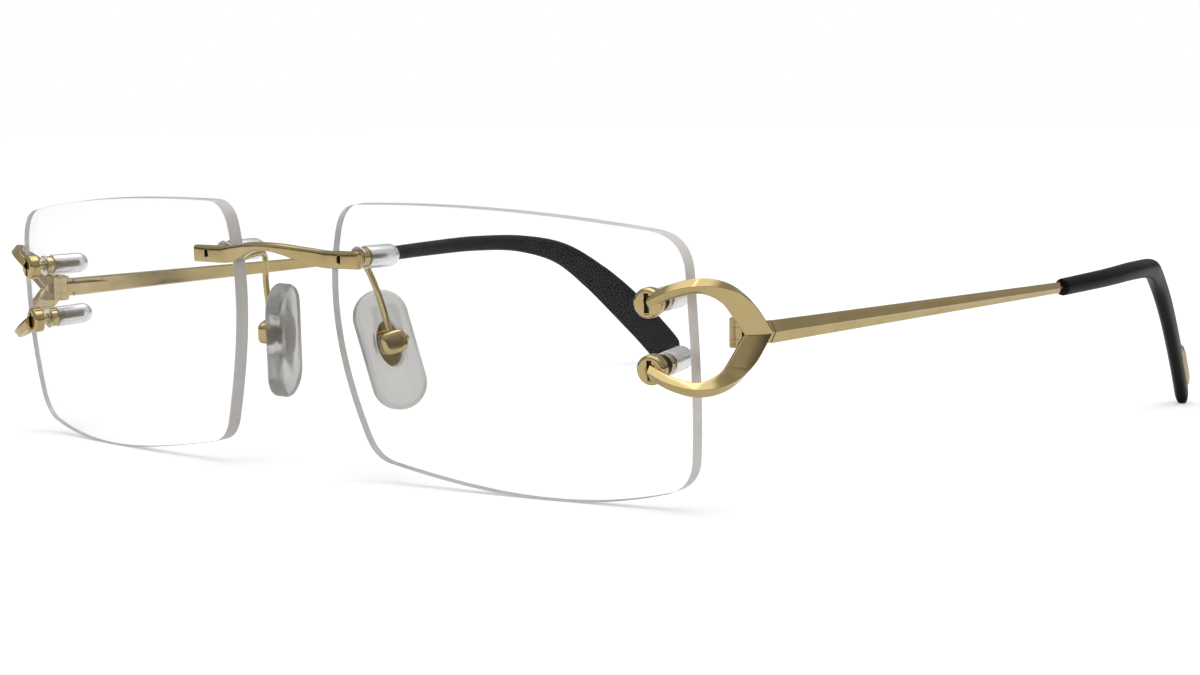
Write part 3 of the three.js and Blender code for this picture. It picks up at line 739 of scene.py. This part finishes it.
def temple_tip(side):
    """The black tip, and the crowned oval inlay on its outer face."""

    def section(share):
        grow = smoothstep(share, 0.35, 0.85)
        width = mix(mix(TIP["start"], TIP["bend"], min(share / 0.35, 1)), TIP["paddle"], grow)
        round_off = math.sqrt(1 - max((share - 1 + TIP_ROUNDING) / TIP_ROUNDING, 0) ** 2 * 0.97)
        lead = min(share * tip_curve.length / 0.3, 1)  # the front edge is rounded over 0.3 mm
        round_off *= 0.86 + 0.14 * math.sqrt(1 - (1 - lead) ** 2)
        size = mix(TIP["start"], TIP["thickness"], grow)
        return oval(size * round_off, width * round_off, 40, mix(1, 1.5, grow))

    shares = [0, 0.0005, 0.0015, 0.003, *np.linspace(0.006, 1 - TIP_ROUNDING, 130),
              *(1 - TIP_ROUNDING * (1 - math.sin(a)) for a in np.linspace(0.08, math.pi / 2, 16))]
    rings = sweep(tip_curve, shares, tip_facing, section)
    piece(f"{side}_temple_tip_fine", side, skin(rings), BLACK, f"{side}_temple",
          [f"{side}_temple_tip"])
    out = tip_facing(INLAY["at"])
    along = tip_curve.along(INLAY["at"])
    y = unit(np.cross(np.cross(along, out), along))
    m = np.eye(4)
    m[:3, 0], m[:3, 1], m[:3, 2] = np.cross(y, along), y, along
    m[:3, 3] = tip_curve.at(INLAY["at"]) + y * TIP["thickness"] / 2
    layers = []
    crown = [(INLAY["proud"] * math.sin(a), math.cos(a)) for a in np.linspace(0, 1.45, 9)]
    for depth, scale in [(-INLAY["depth"], 1), *crown]:
        p = oval(INLAY["width"] * scale, INLAY["length"] * mix(1, scale, 0.6), 48)
        layers.append(place(np.stack([p[:, 0], np.full(48, depth), p[:, 1]], 1), m))
    piece(f"{side}_tip_inlay_fine", side, skin(layers), INLAY_GOLD, f"{side}_temple",
          [f"{side}_tip_inlay"])


# ---- Nose pads ----


def pad_wire(side):
    """The bent arm from the back of the lug to the top of the pad's box."""
    top = place([(0, 0, PAD_BOX["height"] / 2 + GAP)], pad_matrix())[0]
    curve = Curve([*PAD_WIRE_ROUTE, top + vec(*PAD_UPWARD) * 1.5, top])
    rings = sweep(curve, np.linspace(0, 1, 110), lambda s: vec(1, 0, 0),
                  lambda s: oval(2 * PAD_WIRE_RADIUS, 2 * PAD_WIRE_RADIUS, 28))
    piece(f"{side}_pad_wire_fine", side, skin(rings), GOLD, "front", [f"{side}_pad_wire"])


def pad_box(side):
    """The clasp on the wire's end: a rounded box with a slot for the pad's eyelet."""
    x, y, z = PAD_BOX["depth"] / 2, PAD_BOX["width"] / 2, PAD_BOX["height"] / 2
    rounding = [
        (-1, 0.8), (-0.95, 0.9), (-0.85, 0.96), (-0.7, 1),
        (0.5, 1), (0.75, 0.96), (0.9, 0.88), (0.98, 0.76), (1, 0.6),
    ]
    rows = []
    for depth, scale in rounding:
        p = oval(2 * y * scale, 2 * z * scale, 48, 1.8)
        rows.append(place(np.stack([np.full(48, x * depth), p[:, 0], p[:, 1]], 1), pad_matrix()))
    made = piece(f"{side}_pad_box_fine", side, skin(rows), GOLD, "front", [f"{side}_pad_box"])
    low = vec(-x - 1, -PAD_BOX["slot"] / 2, -PAD_BOX["slot_height"] / 2)
    high = vec(x * 0.84, PAD_BOX["slot"] / 2, PAD_BOX["slot_height"] / 2)
    drill(made, [mirrored(block(low, high, pad_matrix()), side)])


def nose_pad(side):
    """The pad: a thick plate with round ends and rounded edges, and a pocket for its core."""
    straight = (PAD["length"] - PAD["width"]) / 2
    angles = (np.arange(72) + 0.5) / 72 * 2 * math.pi

    def layer(depth, inset):
        radius = PAD["width"] / 2 - inset
        end = np.sign(np.sin(angles)) * straight + PAD["drop"]
        p = np.stack([np.full(72, depth), radius * np.cos(angles), radius * np.sin(angles) + end], 1)
        return place(p, pad_matrix())

    edge = PAD["edge"] + 0.15
    turns = [k / 6 * math.pi / 2 for k in range(7)]
    rounding = [(edge * (1 - math.cos(a)), edge * (1 - math.sin(a))) for a in turns]
    rows = [layer(PAD["outer"] - depth, inset) for depth, inset in rounding]
    rows += [layer(PAD["inner"] + depth, inset) for depth, inset in rounding[::-1]]
    made = piece(f"{side}_nose_pad_fine", side, skin(rows), FROSTED, f"{side}_pad",
                 [f"{side}_nose_pad"])
    count = 56
    pocket = []
    for depth in (PAD["inner"] + PAD["edge"] + GAP, 1.0):
        p = oval(PAD_CORE["width"] + 4 * GAP, PAD_CORE["height"] + 4 * GAP, count)
        points = np.stack([np.full(count, depth), p[:, 0], p[:, 1] + PAD_CORE["drop"]], 1)
        pocket.append(place(points, pad_matrix()))
    drill(made, [mirrored(skin(pocket), side)])


# ---- The glasses ----

KNUCKLE_EDGE = 0.35
FINE_EDGE = 0.08

bridge()
for side in ("left", "right"):
    lens(side)
    for name, hole in HOLES.items():
        fixing(side, name, hole)
    end_piece(side)
    temple_tip(side)
    pad_wire(side)
    pad_box(side)
    nose_pad(side)

# The CAD nodes that are still seen get the gold finish and rounded edges.
for name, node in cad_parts.items():
    if not node.hide_render:
        node.data.materials.clear()
        node.data.materials.append(GOLD)
        soften(node, KNUCKLE_EDGE if "hinge_block" in name or "knuckle" in name else FINE_EDGE)

# ---- Table, light and camera ----


def straight_through(tree):
    """1 for rays from the camera or out of a clear piece that nothing has mirrored before, and else 0."""
    path = tree.nodes.new("ShaderNodeLightPath")
    either = tree.nodes.new("ShaderNodeMath")
    either.operation = "MAXIMUM"
    tree.links.new(path.outputs["Is Camera Ray"], either.inputs[0])
    tree.links.new(path.outputs["Is Transmission Ray"], either.inputs[1])
    unmirrored = tree.nodes.new("ShaderNodeMath")
    unmirrored.operation = "LESS_THAN"
    unmirrored.inputs[1].default_value = 0.5
    tree.links.new(path.outputs["Glossy Depth"], unmirrored.inputs[0])
    both = tree.nodes.new("ShaderNodeMath")
    both.operation = "MULTIPLY"
    tree.links.new(either.outputs["Value"], both.inputs[0])
    tree.links.new(unmirrored.outputs["Value"], both.inputs[1])
    return both.outputs["Value"]


PAPER_GLOW = 0.34
table_mesh = bpy.data.meshes.new("table")
reach = 3  # metres from the middle to each side
table_mesh.from_pydata(
    [(-reach, -reach, 0), (reach, -reach, 0), (reach, reach, 0), (-reach, reach, 0)], [], [(0, 1, 2, 3)])
table = bpy.data.objects.new("table", table_mesh)
bpy.context.scene.collection.objects.link(table)
paper, paper_tree, paper_shader = new_material("white_paper")
paper_shader.inputs["Roughness"].default_value = 0.9
paper_shader.inputs["Specular IOR Level"].default_value = 0.1
set_mottled(paper_tree, paper_shader, noise(paper_tree, 60), (0.93, 0.93, 0.93), (0.91, 0.91, 0.91))
paper_shader.inputs["Emission Color"].default_value = (1, 1, 1, 1)
# The paper glows a little where it is seen directly, so that it is white all the way to the horizon.
paper_glow = paper_tree.nodes.new("ShaderNodeMath")
paper_glow.operation = "MULTIPLY"
paper_glow.inputs[1].default_value = PAPER_GLOW
paper_tree.links.new(straight_through(paper_tree), paper_glow.inputs[0])
paper_tree.links.new(paper_glow.outputs["Value"], paper_shader.inputs["Emission Strength"])
table_mesh.materials.append(paper)

# What the metal mirrors, from straight down at 0 to straight up at 1. A dark band lies above the horizon.
STUDIO_TONES = [
    (0.49, 0.6), (0.505, 0.08), (0.55, 0.10), (0.6, 0.42), (0.75, 0.36), (0.86, 0.45), (0.92, 1.3),
]

world = bpy.data.worlds.new("studio")
bpy.context.scene.world = world
world.use_nodes = True
tree = world.node_tree
background = tree.nodes["Background"]
coords = tree.nodes.new("ShaderNodeTexCoord")
split = tree.nodes.new("ShaderNodeSeparateXYZ")
tree.links.new(coords.outputs["Generated"], split.inputs["Vector"])
tone = tree.nodes.new("ShaderNodeValToRGB")
stops = tone.color_ramp.elements
stops[0].position, stops[0].color = 0.0, (0.75, 0.75, 0.75, 1)
stops[1].position, stops[1].color = 1.0, (1.3, 1.3, 1.3, 1)
for at, value in STUDIO_TONES:
    stop = stops.new(at)
    stop.color = (value, value, value * 1.01, 1)
height = tree.nodes.new("ShaderNodeMapRange")
height.inputs["From Min"].default_value = -1
height.inputs["From Max"].default_value = 1
tree.links.new(split.outputs["Z"], height.inputs["Value"])
tree.links.new(height.outputs["Result"], tone.inputs["Fac"])
either = tree.nodes.new("ShaderNodeMix")
either.data_type = "RGBA"
either.inputs[7].default_value = (1.0, 1.0, 1.0, 1)
tree.links.new(straight_through(tree), either.inputs[0])
tree.links.new(tone.outputs["Color"], either.inputs[6])
tree.links.new(either.outputs[2], background.inputs["Color"])
background.inputs["Strength"].default_value = 1.0


def softbox(name, at, size, power, towards=(0, 0, 0.015)):
    """A rectangular lamp, in metres and watts, turned towards the glasses."""
    data = bpy.data.lights.new(name, "AREA")
    data.shape = "RECTANGLE"
    data.size, data.size_y = size
    data.energy = power
    made = bpy.data.objects.new(name, data)
    made.location = at
    made.rotation_mode = "QUATERNION"
    made.rotation_quaternion = (Vector(towards) - Vector(at)).to_track_quat("-Z", "Y")
    bpy.context.scene.collection.objects.link(made)


softbox("top_softbox", (0.05, 0.0, 0.75), (0.5, 0.5), 0.8)

CAMERA = {
    "place": (265.57, -231.56, 49.96),
    "azimuth": 42.1577, "elevation": 5.2661, "roll": -0.68259, "lens": 78.838,
}
azimuth, elevation, roll = (math.radians(CAMERA[k]) for k in ("azimuth", "elevation", "roll"))
rightward = vec(math.cos(azimuth), math.sin(azimuth), 0)
level = vec(-math.sin(azimuth), math.cos(azimuth), 0)
forward = level * math.cos(elevation) - vec(0, 0, math.sin(elevation))
upward = np.cross(rightward, forward)
x_axis = rightward * math.cos(roll) + upward * math.sin(roll)
y_axis = -rightward * math.sin(roll) + upward * math.cos(roll)
lens_data = bpy.data.cameras.new("camera")
lens_data.sensor_width = 36
lens_data.lens = CAMERA["lens"]
lens_data.clip_start, lens_data.clip_end = 0.01, 20
camera = bpy.data.objects.new("camera", lens_data)
location = (vec(*CAMERA["place"]) + SHIFT) * MM
turn = Matrix([[x_axis[k], y_axis[k], -forward[k], location[k]] for k in range(3)] + [[0, 0, 0, 1]])
camera.matrix_world = turn
bpy.context.scene.collection.objects.link(camera)
bpy.context.scene.camera = camera
bpy.context.scene.view_settings.view_transform = "Standard"
